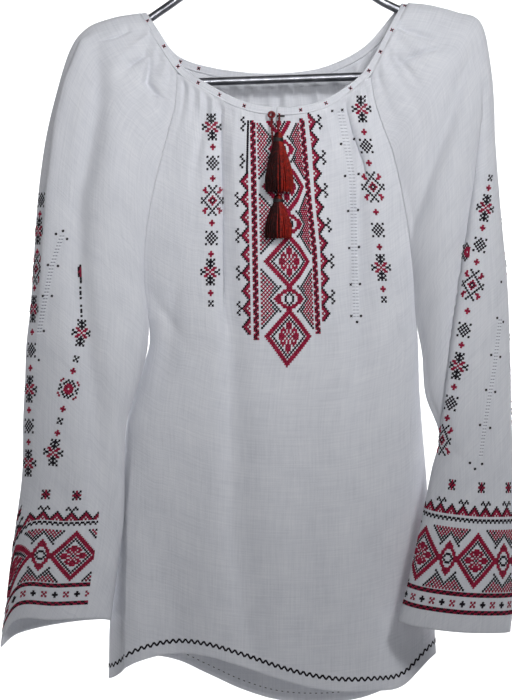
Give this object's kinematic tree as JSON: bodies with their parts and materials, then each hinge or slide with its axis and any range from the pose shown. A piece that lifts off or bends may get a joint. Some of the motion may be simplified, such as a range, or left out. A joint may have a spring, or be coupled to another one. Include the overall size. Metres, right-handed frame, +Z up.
{
  "type": "vyshyvanka shirt on clothes hanger",
  "caption": "Gathered linen shirt with long raglan sleeves, a narrow neckband tied by a tasselled cord and cross-stitch embroidery, hanging open on a bent-tube hanger.",
  "frame": {"origin": "inside of the hanger's hook, where a rail carries it", "axes": "+Z up; +X to the left arm's side of a wearer, which is the viewer's right; the embroidered front faces -Y"},
  "size_m": [0.5152, 0.122, 0.8651],
  "materials": {
    "linen": "plain-woven linen and cotton, washed, matt",
    "tie_thread": "mercerised cotton thread, dark red and black",
    "chromed_tube": "polished chrome plate on bent steel tube"
  },
  "bodies": {
    "root": {"front": "linen", "back": "linen", "left_sleeve": "linen", "right_sleeve": "linen", "neckband": "linen", "cord_short": "tie_thread", "cord_long": "tie_thread", "tassel_short": "tie_thread", "tassel_long": "tie_thread", "hanger_frame": "chromed_tube", "hanger_hook": "chromed_tube"}
  },
  "joints": []
}
